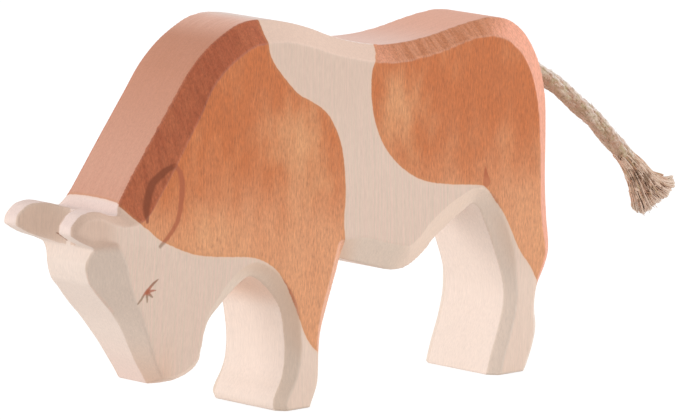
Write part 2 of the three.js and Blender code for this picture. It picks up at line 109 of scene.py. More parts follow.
def unit(v):
    """Each vector divided by its own length."""
    return v / np.maximum(np.linalg.norm(v, axis=-1, keepdims=True), 1e-12)


def frames_along(lines):
    """For lines of shape (many, steps, 3): the direction along each, and two directions square to it. The
    first of them is nearly the board's Y, made square to the line, so it never spins."""
    along = unit(np.gradient(lines, axis=1))
    side = np.array([0.05, 1.0, 0.02])
    first = unit(side - along * (along @ side)[..., None])
    return along, first, np.cross(along, first)


def tube_faces(many, steps, sides):
    """The quads of closed tubes with an end cap on both ends, as one flat list of corners and the size of
    each face."""
    base = np.arange(many)[:, None, None] * steps * sides
    row = base + np.arange(steps - 1)[None, :, None] * sides
    k = np.arange(sides)[None, None, :]
    after = (k + 1) % sides
    quads = np.stack([row + k, row + after, row + sides + after, row + sides + k], -1).reshape(-1, 4)
    first = base[:, 0] + np.arange(sides)[::-1]
    last = base[:, 0] + (steps - 1) * sides + np.arange(sides)
    caps = np.vstack([first, last])
    corners = np.concatenate([quads.ravel(), caps.ravel()])
    sizes = np.concatenate([np.full(len(quads), 4), np.full(len(caps), sides)])
    return corners, sizes


def mesh_from_arrays(name, points, corners, sizes):
    """A mesh object from arrays: points in metres, all faces' corners in one row, and each face's size."""
    mesh = bpy.data.meshes.new(name)
    mesh.vertices.add(len(points))
    mesh.vertices.foreach_set("co", points.astype(np.float32).ravel())
    mesh.loops.add(len(corners))
    mesh.loops.foreach_set("vertex_index", corners.astype(np.int32))
    mesh.polygons.add(len(sizes))
    starts = np.r_[0, np.cumsum(sizes)[:-1]]
    mesh.polygons.foreach_set("loop_start", starts.astype(np.int32))
    mesh.update(calc_edges=True)
    mesh.validate()
    mesh.polygons.foreach_set("use_smooth", np.ones(len(mesh.polygons), bool))
    made = bpy.data.objects.new(name, mesh)
    bpy.context.scene.collection.objects.link(made)
    return made


def tubes(name, lines, radii):
    """A piece of tubes round many lines, and its points. Radii has shape (many, steps, sides). Each point is
    the line's plus the radius times the cosine and sine of the angle round, in the two square directions."""
    _, first, second = frames_along(lines)
    angle = 2 * math.pi * np.arange(radii.shape[2]) / radii.shape[2]
    ring = np.cos(angle)[:, None] * first[:, :, None] + np.sin(angle)[:, None] * second[:, :, None]
    points = lines[:, :, None] + radii[..., None] * ring
    return mesh_from_arrays(name, points.reshape(-1, 3), *tube_faces(*radii.shape)), points


def store(piece, shape, **numbers):
    """Writes numbers for every vertex into the piece's mesh, where a material can read them by name. They are
    first repeated up to the shape: (many, steps, sides) on tubes, or the number of vertices."""
    for name, values in numbers.items():
        attribute = piece.data.attributes.new(name, "FLOAT", "POINT")
        attribute.data.foreach_set("value", np.broadcast_to(values, shape).astype(np.float32).ravel())


# %% [markdown]
# ## The rope
# The tail is a short length of three-strand hemp rope, about 4.6 mm thick. It leaves its hole nearly level
# and falls in one soft bend, because a short stiff rope hangs by its own stiffness more than by its weight.
# The photograph shows it from end to end, so its length is simply the length of this route and of the stretch
# in the hole. The strands could be a picture on a plain tube, but their outline shows against the white
# ground, so each strand is a tube of its own that winds round the rope's line, with shallow ridges for yarns.

# %% The rope's route
ROPE_THICKNESS = 4.6 * MM
HOLE_MOUTH = np.array([78.18, 0, 77.0]) * MM
HOLE_BOTTOM = np.array([68.69, 0, 79.02]) * MM
ROPE_ROUTE = [
    (2.7, -0.45), (5.4, -1.3), (8.1, -2.5), (10.8, -4.1), (13.5, -5.8),
    (16.1, -7.6), (19.4, -10.0), (22.6, -12.4), (25.9, -15.0), (29.1, -17.7),
    (32.2, -20.5), (35.3, -23.4), (38.3, -26.3), (41.2, -29.2), (43.8, -32.1),
]
ROPE_STEPS = 420


def from_mouth(places):
    """Points in the board's middle plane, from how far they lie behind and above the hole's mouth, in mm."""
    return [HOLE_MOUTH + np.array([behind, 0, above]) * MM for behind, above in places]


in_hole = [HOLE_BOTTOM, (HOLE_BOTTOM + HOLE_MOUTH) / 2, HOLE_MOUTH]
rope_line = smooth_line([*in_hole, *from_mouth(ROPE_ROUTE)], ROPE_STEPS)
rope_along = np.r_[0, np.cumsum(np.linalg.norm(np.diff(rope_line, axis=0), axis=1))]

# %% The three strands
STRANDS = 3
LAY_PITCH = 44 * MM
STRAND_RADIUS = 1.76 * MM
STRAND_OFFSET = 0.68 * MM
STRAND_SIDES = 26
YARNS_IN_STRAND = 5
YARN_TWIST = 15 * MM
RIDGE_SHARE = 0.045
LUMP_STEP = 2.6 * MM
WANDER_SHARE = 0.05
WANDER_STEP = 6 * MM
OPENED = 8 * MM
OPENED_THINNESS = 0.4


def slow_noise(length, step, many):
    """Smooth random values from -1 to 1 for many lines: random knots every step, joined by a smooth curve."""
    knots = RNG.uniform(-1, 1, (many, int(length[-1] / step) + 3))
    place = length / step
    i = place.astype(int)
    u = place - i
    u = u * u * (3 - 2 * u)
    return knots[:, i] * (1 - u) + knots[:, i + 1] * u


def rope_strands():
    """Three tubes round the rope's line. Each strand's centre runs round the line once per pitch, and its
    radius rises and falls round the strand with its yarns, and slowly along it. Over the last millimetres,
    where the strands are opened by hand, they thin out."""
    line = rope_line[None]
    _, first, second = frames_along(line)
    turn = 2 * math.pi * (rope_along / LAY_PITCH + np.arange(STRANDS)[:, None] / STRANDS)
    wander = slow_noise(rope_along, WANDER_STEP, STRANDS)
    whole = np.clip((rope_along[-1] - rope_along) / OPENED, 0, 1)
    offset = STRAND_OFFSET * (1 + WANDER_SHARE * wander)
    centres = line + offset[..., None] * (np.cos(turn)[..., None] * first + np.sin(turn)[..., None] * second)
    angle = 2 * math.pi * np.arange(STRAND_SIDES) / STRAND_SIDES
    yarn = np.cos(YARNS_IN_STRAND * (angle + 2 * math.pi * (rope_along / YARN_TWIST)[:, None]))
    lumps = slow_noise(rope_along, LUMP_STEP, STRANDS)
    radii = STRAND_RADIUS * (1 + RIDGE_SHARE * (yarn[None] + lumps[..., None]))
    radii = radii * (OPENED_THINNESS + (1 - OPENED_THINNESS) * whole)[:, None]
    rope, points = tubes("tail_rope_strands", centres, radii)
    far = np.linalg.norm(points - line[:, :, None], axis=-1)
    store(
        rope,
        far.shape,
        outward=far / (ROPE_THICKNESS / 2),
        along=rope_along[None, :, None] / MM,
        round=np.arange(STRAND_SIDES) / STRAND_SIDES,
        strand=np.arange(STRANDS)[:, None, None],
    )
    return rope


rope = rope_strands()
print("rope strands:", len(rope.data.polygons), "faces")

# %% [markdown]
# ## The frayed end
# The last 15 mm of the rope are opened by hand and cut off bluntly on a slant. Most fibres run straight on
# and spread a little, and the ones on the far side of the bend are turned away sharply, so the end looks like
# a small trodden brush. The groom is set by six guide lines, as in hair work. Each fibre follows the two
# guides next to it. Hair particles could do the same, but plain tubes export as a mesh and keep their place.

# %% Guides of the tuft
GUIDES = {
    0.00: [(35.3, -27.5), (37.7, -29.4), (40.0, -32.5), (41.4, -35.2), (42.2, -38.1), (42.6, -40.4),
           (43.1, -42.8)],
    0.25: [(36.4, -26.9), (39.3, -29.6), (41.9, -32.7), (43.3, -35.5), (44.4, -38.3), (45.9, -41.1),
           (46.7, -43.7)],
    0.50: [(37.6, -26.1), (41.1, -29.2), (44.0, -32.5), (45.9, -35.3), (47.3, -38.1), (49.2, -40.7),
           (50.8, -42.1)],
    0.75: [(38.9, -25.3), (42.2, -28.3), (45.1, -31.2), (47.7, -33.9), (49.9, -36.3), (52.4, -38.4),
           (55.4, -40.1)],
    0.88: [(39.6, -25.0), (42.5, -27.8), (45.8, -30.8), (48.4, -33.2), (51.0, -35.2), (54.4, -36.9),
           (58.0, -38.0)],
    1.00: [(40.2, -24.6), (43.0, -27.3), (46.3, -30.2), (48.8, -32.3), (51.2, -34.2), (54.4, -35.4),
           (57.4, -35.3)],
}
GUIDE_STEPS = 60
guide_shares = np.array(list(GUIDES))
guide_lines = np.array([smooth_line(from_mouth(places), GUIDE_STEPS) for places in GUIDES.values()])

# %% Fibres of the tuft
TUFT_FIBRES = 1500
TUFT_LOCKS = 12
FIBRE_SIDES = 4
FIBRE_STEPS = 12
ROOTS_UP_TO = 0.45
LOOSE_SHARE = 0.45
LOOSE_UP_TO = 0.75
SHORTER_SHARE = 0.16
SHORTER_BY = 0.22
GATHERING = 0.35
BRUSH_END = 0.975
BRUSH_DEPTH = 2.2 * MM
BRUSH_SPREAD = 1.3 * MM
SWING = 0.6 * MM
THINNEST = 0.09 * MM
THICKEST = 0.36 * MM


def tuft_fibres():
    """Each fibre has a share from 0 to 1 across the brush, a root and a tip place along the guides, and a
    depth from -1 to 1 through the brush. Its line is the mix of the two nearest guides, and it swings to and
    fro, most in the middle of the brush. Nearly half of the fibres are short and loose. Towards the tip the
    shares gather a little round a dozen locks. The depth runs along the line of sight of the photograph,
    turned TURN from the board, because the brush was opened and cut that way round."""
    many = TUFT_FIBRES
    share = RNG.beta(0.9, 0.9, many)
    lock = np.clip(np.round(share * TUFT_LOCKS + RNG.normal(0, 0.3, many)), 0, TUFT_LOCKS) / TUFT_LOCKS
    start = RNG.uniform(0.0, ROOTS_UP_TO, many)
    loose = RNG.random(many) < LOOSE_SHARE
    start = np.where(loose, RNG.uniform(0.0, LOOSE_UP_TO, many), start)
    lock_end = RNG.normal(0, 0.022, TUFT_LOCKS + 1)[(lock * TUFT_LOCKS).astype(int)]
    end = BRUSH_END + lock_end + RNG.normal(0, 0.018, many)
    end = np.clip(end - SHORTER_BY * (RNG.random(many) < SHORTER_SHARE), 0.6, 1.0)
    end = np.where(loose, np.minimum(end, start + RNG.uniform(0.18, 0.4, many)), end)
    t = np.linspace(0, 1, FIBRE_STEPS)[None, :]
    way = start[:, None] + (end - start)[:, None] * t
    gathered = share[:, None] + (lock - share)[:, None] * GATHERING * way**2
    gathered = 0.5 + (gathered - 0.5) * (0.90 + 0.10 * np.clip(way / 0.4, 0, 1))
    place = np.interp(gathered, guide_shares, np.arange(len(guide_shares)))
    i = np.clip(place.astype(int), 0, len(guide_shares) - 2)
    u = (place - i)[..., None]
    step = way * (GUIDE_STEPS - 1)
    k = np.clip(step.astype(int), 0, GUIDE_STEPS - 2)
    v = (step - k)[..., None]
    low = guide_lines[i, k] * (1 - v) + guide_lines[i, k + 1] * v
    high = guide_lines[i + 1, k] * (1 - v) + guide_lines[i + 1, k + 1] * v
    lines = low * (1 - u) + high * u
    depth = RNG.uniform(-1, 1, many)
    round_section = np.sqrt(np.clip(1 - (2 * gathered - 1) ** 2, 0.03, 1))
    away = np.array([math.sin(TURN), math.cos(TURN), 0])
    lines = lines + (depth[:, None] * round_section * (BRUSH_DEPTH + BRUSH_SPREAD * way))[..., None] * away
    inner = 1 - np.abs(2 * gathered - 1)[..., None]
    swing = RNG.normal(0, SWING, (many, 1, 3)) * np.where(loose, 1.5, 0.7)[:, None, None]
    wave = swing * np.sin(RNG.uniform(2, 7, (many, 1, 1)) * t[..., None] + RNG.uniform(-1, 1, (many, 1, 1)))
    lines = lines + wave * (0.25 + 0.75 * inner) * np.clip(2.5 * way[..., None], 0.2, 1)
    thick = THINNEST + (THICKEST - THINNEST) * RNG.random(many) ** 2.4
    radii = thick[:, None] * np.linspace(1.0, 0.8, FIBRE_STEPS)
    shape = (many, FIBRE_STEPS, FIBRE_SIDES)
    tuft, _ = tubes("tail_tuft_fibres", lines, np.broadcast_to(radii[..., None], shape))
    lock_tint = RNG.random(TUFT_LOCKS + 1)[(lock * TUFT_LOCKS).astype(int)]
    tint = 0.65 * RNG.random(many) + 0.35 * lock_tint
    # heart: where the painted shade between the fibres is deepest, in the middle of the brush.
    heart = np.exp(-((gathered - 0.5) / 0.25) ** 2 - ((way - 0.55) / 0.2) ** 2)
    store(tuft, shape, tint=tint[:, None, None], tip=way[..., None], heart=heart[..., None])
    return tuft


tuft = tuft_fibres()
print("tuft:", TUFT_FIBRES, "fibres")

# %% [markdown]
# ## Loose hairs
# Hemp is never smooth: short fibre ends stand off the strands and soften the rope's outline. A few hundred
# short tubes, each leaving the surface at a low angle, are enough at this size.

# %% Hairs along the rope
HAIRS = 300
HAIR_STEPS = 5
HAIR_PLACES = (0.17, 0.99)
HAIR_LENGTH = (0.9 * MM, 3.6 * MM)
HAIR_RADIUS = (0.03 * MM, 0.05 * MM)


def rope_hairs():
    """Each hair starts on the rope's surface at a random place and runs on at a low angle to the rope, a
    little away from it, for a length between the two of HAIR_LENGTH."""
    at = RNG.uniform(*HAIR_PLACES, HAIRS) * (ROPE_STEPS - 1)
    i = at.astype(int)
    along, first, second = frames_along(rope_line[None])
    angle = RNG.uniform(0, 2 * math.pi, HAIRS)
    out = np.cos(angle)[:, None] * first[0][i] + np.sin(angle)[:, None] * second[0][i]
    round_way = np.cross(along[0][i], out)
    start = rope_line[i] + out * (ROPE_THICKNESS * RNG.uniform(0.40, 0.47, HAIRS))[:, None]
    length = RNG.uniform(*HAIR_LENGTH, HAIRS)
    heading = unit(
        along[0][i] * RNG.choice([-1, 1], HAIRS)[:, None]
        + out * RNG.uniform(0.02, 0.34, HAIRS)[:, None]
        + round_way * RNG.normal(0, 0.35, HAIRS)[:, None]
    )
    t = np.linspace(0, 1, HAIR_STEPS)[None, :, None]
    curl = out * RNG.normal(0, 0.22 * MM, HAIRS)[:, None]
    lines = start[:, None] + heading[:, None] * length[:, None, None] * t + curl[:, None] * t**2
    radii = RNG.uniform(*HAIR_RADIUS, HAIRS)[:, None] * np.linspace(1, 0.5, HAIR_STEPS)
    shape = (HAIRS, HAIR_STEPS, FIBRE_SIDES)
    hairs, _ = tubes("tail_rope_hairs", lines, np.broadcast_to(radii[..., None], shape))
    store(hairs, shape, tint=RNG.random(HAIRS)[:, None, None], tip=t)
    return hairs


hairs = rope_hairs()
print("hairs:", HAIRS)

# %% Tie the tail to the frame
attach(rope, "root")
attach(tuft, "root")
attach(hairs, "root")
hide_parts("tail_rope")
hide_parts("tail_tuft")

# %% [markdown]
# ## The wooden block
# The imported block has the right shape, with edges as sharp as a drawing. A knife and a little sanding leave
# real edges slightly soft, and they catch the light. A bevel would stumble over the block's many short edges,
# so a copy is covered with an even skin of small squares instead. The skin is relaxed, laid back on the true
# block so that its faces are flat again, and relaxed once more, which rounds only the edges.

# %% An even skin with soft edges
SKIN_STEP = 0.52 * MM
KEPT_SHARE = 0.70


def softened_block():
    """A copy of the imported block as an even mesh: voxel squares, relaxed, laid back on the block, relaxed
    once more, and thinned a little where it is flattest."""
    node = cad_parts["body_block"]
    mesh = node.data.copy()
    work = bmesh.new()
    work.from_mesh(mesh)
    bmesh.ops.remove_doubles(work, verts=work.verts, dist=0.001 * MM)
    work.to_mesh(mesh)
    work.free()
    raw = bpy.data.objects.new("raw_block", mesh)
    bpy.context.scene.collection.objects.link(raw)
    skin = raw.modifiers.new("skin", "REMESH")
    skin.mode = "VOXEL"
    skin.voxel_size = SKIN_STEP
    relax = raw.modifiers.new("relax", "SMOOTH")
    relax.factor = 0.5
    relax.iterations = 4
    lay = raw.modifiers.new("lay back", "SHRINKWRAP")
    lay.target = node
    lay.wrap_method = "NEAREST_SURFACEPOINT"
    soften = raw.modifiers.new("soften", "SMOOTH")
    soften.factor = 0.5
    soften.iterations = 1
    thin = raw.modifiers.new("thin out", "DECIMATE")
    thin.ratio = KEPT_SHARE
    bpy.context.view_layer.update()
    made = bpy.data.meshes.new_from_object(raw.evaluated_get(bpy.context.evaluated_depsgraph_get()))
    bpy.data.objects.remove(raw)
    made.materials.clear()
    made.name = "bull_block"
    block = bpy.data.objects.new("bull_block", made)
    bpy.context.scene.collection.objects.link(block)
    made.polygons.foreach_set("use_smooth", np.ones(len(made.polygons), bool))
    return block


block = softened_block()
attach(block, "root")
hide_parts("body_block")
print("block:", len(block.data.vertices), "points,", len(block.data.polygons), "faces")

# %% [markdown]
# ## Where the finish lies
# The stain covers two patches with a clean edge, and it takes differently on the flat sides, on the knife
# cuts and on the sawn edges of the board. The material needs to know these places, so they are worked out
# once for each point of the mesh: how far inside a patch it lies, in millimetres, and how its surface was
# made. The normal tells that: its sideways part is near 1 on the flat sides and near 0 on the sawn edges.

# %% The patches
FRONT_PATCH = [
    (-80, 58.8), (-66, 58.8), (-63.3, 57.4), (-61.5, 54.6), (-58.8, 52.0), (-56.8, 50.8), (-54.3, 48.5),
    (-52.0, 47.3), (-45.5, 44.3), (-40.7, 42.7), (-32.5, 41.5), (-24.3, 40.6), (-20.3, 39.4), (-16.0, 36.9),
    (-13.4, 34.0), (-11.0, 30.2), (-9.0, 26.4), (-7.7, 22.7), (-6.7, 20.1), (-4.7, 16.5), (-2.0, 13.9),
    (2.5, 11.5), (7.5, 20.0), (7.9, 30.0), (7.8, 36.3), (7.6, 41.1), (7.0, 46.3), (7.7, 51.3), (7.7, 55.9),
    (7.0, 62.6), (5.8, 67.0), (3.8, 71.0), (1.4, 74.3), (-3.0, 77.2), (-8.0, 79.5), (-11.6, 83.1),
    (-15.9, 87.8), (-17.8, 91.3), (-18.0, 95.8), (-17.4, 98.3), (-17.0, 108.0), (-80, 108.0),
]
REAR_PATCH = [
    (21.0, 96.0), (21.1, 88.5), (16.7, 84.6), (16.2, 79.1), (16.6, 73.7), (17.9, 69.0), (20.3, 63.9),
    (24.7, 58.9), (30.2, 55.0), (35.3, 52.9), (41.2, 51.7), (47.0, 50.9), (53.2, 50.2), (55.2, 49.7),
    (57.4, 47.6), (59.5, 45.0), (62.3, 41.4), (64.8, 36.7), (67.6, 31.2), (71.2, 27.4),
    (73.3, 23.5), (77.0, 19.0), (92.0, 16.0), (92.0, 102.0), (21.5, 102.0),
]


def smooth_outline(points, rounds=2):
    """Cuts each corner of a closed outline at a quarter of its two sides, again and again: a soft curve."""
    p = np.asarray(points, float)
    for _ in range(rounds):
        after = np.roll(p, -1, axis=0)
        p = np.stack([0.75 * p + 0.25 * after, 0.25 * p + 0.75 * after], 1).reshape(-1, 2)
    return p


def distance_inside(places, outline):
    """How far each place lies inside a closed outline, negative outside: the least distance to its edges,
    with the sign from counting the edges that a line to the right of the place crosses."""
    nearest = np.full(len(places), 1e9)
    inside = np.zeros(len(places), bool)
    for a, b in zip(outline, np.roll(outline, -1, axis=0)):
        edge = b - a
        share = np.clip((places - a) @ edge / (edge @ edge), 0, 1)
        nearest = np.minimum(nearest, np.linalg.norm(places - a - share[:, None] * edge, axis=1))
        crosses = (a[1] > places[:, 1]) != (b[1] > places[:, 1])
        climb = edge[1] if abs(edge[1]) > 1e-9 else 1e-9
        inside ^= crosses & (places[:, 0] < a[0] + (places[:, 1] - a[1]) / climb * edge[0])
    return np.where(inside, nearest, -nearest)


# %% Points, normals and soft masks
def mesh_points(piece):
    """The piece's vertices in millimetres and their normals, as two arrays."""
    count = len(piece.data.vertices)
    co = np.empty(count * 3, np.float32)
    piece.data.vertices.foreach_get("co", co)
    normal = np.empty(count * 3, np.float32)
    piece.data.vertex_normals.foreach_get("vector", normal)
    return co.reshape(-1, 3).astype(float) / MM, normal.reshape(-1, 3).astype(float)


def step_between(low, high, value):
    """0 below low, 1 above high, and a smooth rise between them."""
    u = np.clip((value - low) / (high - low), 0, 1)
    return u * u * (3 - 2 * u)


def neighbours_mean(piece):
    """A function that gives, for one value per vertex, the mean over each vertex's neighbours."""
    edges = np.empty(len(piece.data.edges) * 2, np.int32)
    piece.data.edges.foreach_get("vertices", edges)
    a, b = edges.reshape(-1, 2).T
    count = len(piece.data.vertices)
    many = np.maximum(np.bincount(edges, minlength=count), 1)
    return lambda values: (np.bincount(a, values[b], count) + np.bincount(b, values[a], count)) / many


def bulge(piece, points, normals):
    """How far each vertex stands out from the mean of its neighbours along its normal, in millimetres."""
    mean = neighbours_mean(piece)
    return sum((points[:, k] - mean(points[:, k])) * normals[:, k] for k in range(3))


def evened(piece, values, rounds):
    """Each value replaced by the mean of itself and its neighbours' mean, a few times over."""
    mean = neighbours_mean(piece)
    for _ in range(rounds):
        values = 0.5 * values + 0.5 * mean(values)
    return values


# %% The block's masks
SAWN_ACROSS = (0.10, 0.22)
FLAT_ACROSS = (0.955, 0.985)
COLLAR_BOW = 2.2
BOW_HALF_WIDTH = 13

points, normals = mesh_points(block)
across = np.abs(normals[:, 1])
sawn = 1 - step_between(*SAWN_ACROSS, across)
knife = (1 - step_between(*FLAT_ACROSS, across)) * (1 - sawn)
in_notch = step_between(0.5, 1.5, 8.6 - np.abs(points[:, 1])) * step_between(0, 1, -62 - points[:, 0])

# On the sawn top of the neck the stain's edge bows up in the middle of the board.
on_neck = sawn * step_between(0, 4, -60 - points[:, 0])
flat = points[:, [0, 2]].copy()
flat[:, 1] -= COLLAR_BOW * (1 - (points[:, 1] / BOW_HALF_WIDTH) ** 2) * on_neck
in_front = distance_inside(flat, smooth_outline(FRONT_PATCH))
in_rear = distance_inside(flat, smooth_outline(REAR_PATCH))
in_patch = np.maximum(in_front, in_rear)

knife = evened(block, knife * (1 - in_notch), 3)
stands_out = bulge(block, points, normals)
store(
    block,
    len(points),
    patch=in_patch,
    saddle=step_between(79, 82, points[:, 2]) * step_between(-26, -12, points[:, 0]),
    facing=normals[:, 0],
    sawn=evened(block, sawn, 2),
    knife=knife,
    edge=stands_out,
)
print(f"stained share {np.mean(in_patch > 0):.2f}, knife cuts {knife.mean():.2f}")
print("standing out, mm:", np.percentile(stands_out, [5, 50, 90, 95, 99]).round(4))

# %% [markdown]
# ## Building materials from nodes
# A node material is a small program that is run for every point of the surface. A few short helpers keep it
# readable: one adds any node and wires its inputs, and the others are arithmetic, smooth changes, mixing of
# colours and noise, each in a line or two.

# %% Node helpers
def srgb(red, green, blue):
    """A colour given as it looks on a screen, from 0 to 255, turned into the linear values nodes use."""
    return tuple(
        ((c / 255 + 0.055) / 1.055) ** 2.4 if c > 10.31 else c / 255 / 12.92 for c in (red, green, blue)
    ) + (1.0,)


def add(tree, kind, inputs=None, **settings):
    """Adds a node, sets its options, then wires a socket or writes a value into each input that is given."""
    made = tree.nodes.new(kind)
    for name, value in settings.items():
        setattr(made, name, value)
    for name, value in (inputs or {}).items():
        if isinstance(value, bpy.types.NodeSocket):
            tree.links.new(value, made.inputs[name])
        else:
            made.inputs[name].default_value = value
    return made


def calc(tree, operation, *values, clamp=False):
    """Arithmetic on one, two or three numbers."""
    made = add(tree, "ShaderNodeMath", dict(enumerate(values)), operation=operation, use_clamp=clamp)
    return made.outputs[0]


def times(tree, product, *others):
    """The product of two or more numbers."""
    for other in others:
        product = calc(tree, "MULTIPLY", product, other)
    return product


def around(tree, value, spread, middle=0.0):
    """Noise from 0 to 1 turned into values round the middle, spread wide in all."""
    return calc(tree, "MULTIPLY_ADD", value, spread, middle - spread / 2)


def length_of(tree, across, up):
    """The length of the vector (across, up): the root of the sum of the two squares."""
    return calc(tree, "SQRT", calc(tree, "MULTIPLY_ADD", across, across, times(tree, up, up)))


def mix(tree, share, first, second, blend="MIX"):
    """Mixes two colours."""
    inputs = {0: share, 6: first, 7: second}
    return add(tree, "ShaderNodeMix", inputs, data_type="RGBA", blend_type=blend).outputs[2]


def rise(tree, value, low, high, start=0.0, end=1.0):
    """A smooth change from start to end while the value goes from low to high."""
    inputs = {"Value": value, "From Min": low, "From Max": high, "To Min": start, "To Max": end}
    return add(tree, "ShaderNodeMapRange", inputs, interpolation_type="SMOOTHSTEP").outputs[0]


def fade(tree, value, low, high, first, second, cover=1.0):
    """The first colour, covered by the second ever more while the value goes from low to high."""
    return mix(tree, rise(tree, value, low, high, 0.0, cover), first, second)


def noise(tree, place, cells, detail, rough=0.55, **more):
    """Soft noise from 0 to 1, with a number of cells per millimetre of the place along each of its axes."""
    scaled = add(tree, "ShaderNodeVectorMath", {0: place, 1: cells}, operation="MULTIPLY").outputs[0]
    inputs = {"Vector": scaled, "Scale": 1.0, "Detail": detail, "Roughness": rough, **more}
    return add(tree, "ShaderNodeTexNoise", inputs).outputs["Fac"]


def read(tree, name):
    """The number stored in the mesh under this name."""
    return add(tree, "ShaderNodeAttribute", attribute_name=name).outputs["Fac"]


def new_material(name):
    """An empty node material with a shader, and the place on the object in millimetres."""
    material = bpy.data.materials.new(name)
    material.use_nodes = True
    tree = material.node_tree
    tree.nodes.clear()
    shader = add(tree, "ShaderNodeBsdfPrincipled")
    output = add(tree, "ShaderNodeOutputMaterial")
    tree.links.new(shader.outputs[0], output.inputs["Surface"])
    coordinates = add(tree, "ShaderNodeTexCoord").outputs["Object"]
    millimetres = add(tree, "ShaderNodeVectorMath", {0: coordinates, "Scale": 1 / MM}, operation="SCALE")
    return material, tree, shader, millimetres.outputs[0]


# %% [markdown]
# ## Drawn strokes
# The ear and the eye are drawn on both sides with a pen or a hot wire. A stroke is a chain of short straight
# pieces, each as wide at its ends as the hand made it. For a point on the wood, the distance to such a piece
# less half its width tells ink from wood, sharply at any size. The distances are worked out in nodes, because
# a lash is thinner than one face of the mesh.

# %% Strokes of the ear and the eye
EAR_FRONT = [
    (-48.5, 66.1, 0.55), (-50.8, 65.0, 0.70), (-53.0, 63.4, 0.78), (-54.4, 62.2, 0.82), (-55.6, 60.2, 0.84),
    (-56.5, 58.2, 0.82), (-57.2, 56.3, 0.75), (-57.6, 54.6, 0.62), (-57.6, 53.2, 0.42),
]
EAR_BACK = [
    (-48.3, 66.0, 0.55), (-46.9, 64.2, 0.75), (-46.3, 61.9, 0.85), (-46.3, 59.4, 0.88), (-46.6, 57.2, 0.82),
    (-47.0, 54.9, 0.74), (-47.9, 52.2, 0.68), (-49.5, 50.0, 0.66), (-51.4, 48.2, 0.62), (-53.5, 46.6, 0.45),
]
EYE_LID = [
    (-53.5, 38.3, 0.10), (-54.2, 37.9, 0.28), (-54.9, 37.5, 0.36), (-56.2, 36.3, 0.44), (-57.0, 35.6, 0.46),
    (-57.8, 34.8, 0.34), (-58.6, 33.7, 0.32), (-59.5, 32.8, 0.22),
]
EYE_LASHES = [
    [(-56.5, 35.6, 0.50), (-55.3, 35.6, 0.30), (-54.1, 35.6, 0.16)],
    [(-56.7, 35.3, 0.50), (-55.0, 34.0, 0.20)],
    [(-56.9, 35.3, 0.48), (-56.6, 32.9, 0.20)],
]
# A dark wedge where the rear leg's knife cut meets the flank: darker stain and painted shade in the crease.
FLANK_CREASE_STAIN_AND_SHADE = [(55.4, 54.6, 0.12), (55.6, 52.2, 0.8), (55.9, 50.7, 1.35)]
# Painted shade: a thin dark line at the bottom of the notch, where the near horn meets the far horn's root.
NOTCH_LINE_SHADE = [(3.5, 49.9, 0.10), (2.3, 49.3, 0.22), (0.6, 48.3, 0.10)]


def stroke_group():
    """A node group: for the point (X, Z) and a piece of stroke from (X1, Z1) to (X2, Z2) with half widths W1
    and W2, it gives the half width at the nearest place of the piece less the distance to it."""
    group = bpy.data.node_groups.new("piece_of_stroke", "ShaderNodeTree")
    names = ["X", "Z", "X1", "Z1", "X2", "Z2", "W1", "W2"]
    for name in names:
        group.interface.new_socket(name, in_out="INPUT", socket_type="NodeSocketFloat")
    group.interface.new_socket("Inside", in_out="OUTPUT", socket_type="NodeSocketFloat")
    entry = add(group, "NodeGroupInput").outputs
    x, z, x1, z1, x2, z2, w1, w2 = (entry[name] for name in names)
    run, climb = calc(group, "SUBTRACT", x2, x1), calc(group, "SUBTRACT", z2, z1)
    px, pz = calc(group, "SUBTRACT", x, x1), calc(group, "SUBTRACT", z, z1)
    dot = calc(group, "MULTIPLY_ADD", px, run, times(group, pz, climb))
    size = calc(group, "MULTIPLY_ADD", run, run, times(group, climb, climb))
    share = calc(group, "DIVIDE", dot, size, clamp=True)
    dx = calc(group, "SUBTRACT", px, times(group, share, run))
    dz = calc(group, "SUBTRACT", pz, times(group, share, climb))
    width = calc(group, "MULTIPLY_ADD", share, calc(group, "SUBTRACT", w2, w1), w1)
    add(group, "NodeGroupOutput", {"Inside": calc(group, "SUBTRACT", width, length_of(group, dx, dz))})
    return group


STROKE = stroke_group()


def stroke(tree, x, z, places):
    """The most inside value over all pieces of one stroke."""
    best = None
    for (x1, z1, w1), (x2, z2, w2) in zip(places, places[1:]):
        values = {"X": x, "Z": z, "X1": x1, "Z1": z1, "X2": x2, "Z2": z2, "W1": w1, "W2": w2}
        inside = add(tree, "ShaderNodeGroup", values, node_tree=STROKE).outputs[0]
        best = inside if best is None else calc(tree, "MAXIMUM", best, inside)
    return best


# %% [markdown]
# ## The maple and its stain
# Maple is pale and close-grained. Along the board's height the grain shows as fine upright streaks in soft
# bands, some pinkish, some greenish beige. The rings are far from the board's own middle, so they are worked
# out as the distance from a pith that lies well behind the rump: this gives upright bands on the sides and
# slow arcs across the sawn edges. The orange stain is thin. It lets the streaks through, gathers in short
# dark pores, sits deeper where the knife cut across the grain and stays paler on the sawn edges. Each kind of
# surface has its own colour, and the kinds are mixed by place, in millimetres, and by the stored numbers.

# %% Colours of the bare wood
BARE_PINK = srgb(222, 194, 178)
BARE_GREEN = srgb(215, 193, 175)
SADDLE_SIDE = srgb(213, 185, 167)
LOW_LEG_SIDE_LIT = srgb(231, 207, 190)
MUZZLE_SIDE = srgb(218, 178, 153)
BARE_KNIFE = srgb(231, 207, 189)
LEG_KNIFE = srgb(221, 201, 184)
LEG_KNIFE_REAR = srgb(228, 210, 195)
SADDLE_KNIFE = srgb(226, 196, 178)
HEAD_KNIFE_SHADE = srgb(219, 198, 182)
HORN_KNIFE_SHADE = srgb(209, 179, 160)
HORN_KNIFE_SHADE_FAR = srgb(220, 193, 174)
BARE_SAWN = srgb(230, 211, 198)
COLLAR_SAWN = srgb(232, 209, 200)
LEG_SAWN_LIT = srgb(241, 224, 212)
ARCH_SAWN = srgb(236, 206, 187)
MUZZLE_SAWN = srgb(234, 204, 192)
SADDLE_SAWN = srgb(240, 214, 204)
EDGE_HIGHLIGHT = srgb(246, 222, 208)
SADDLE_EDGE_HIGHLIGHT = srgb(255, 236, 228)

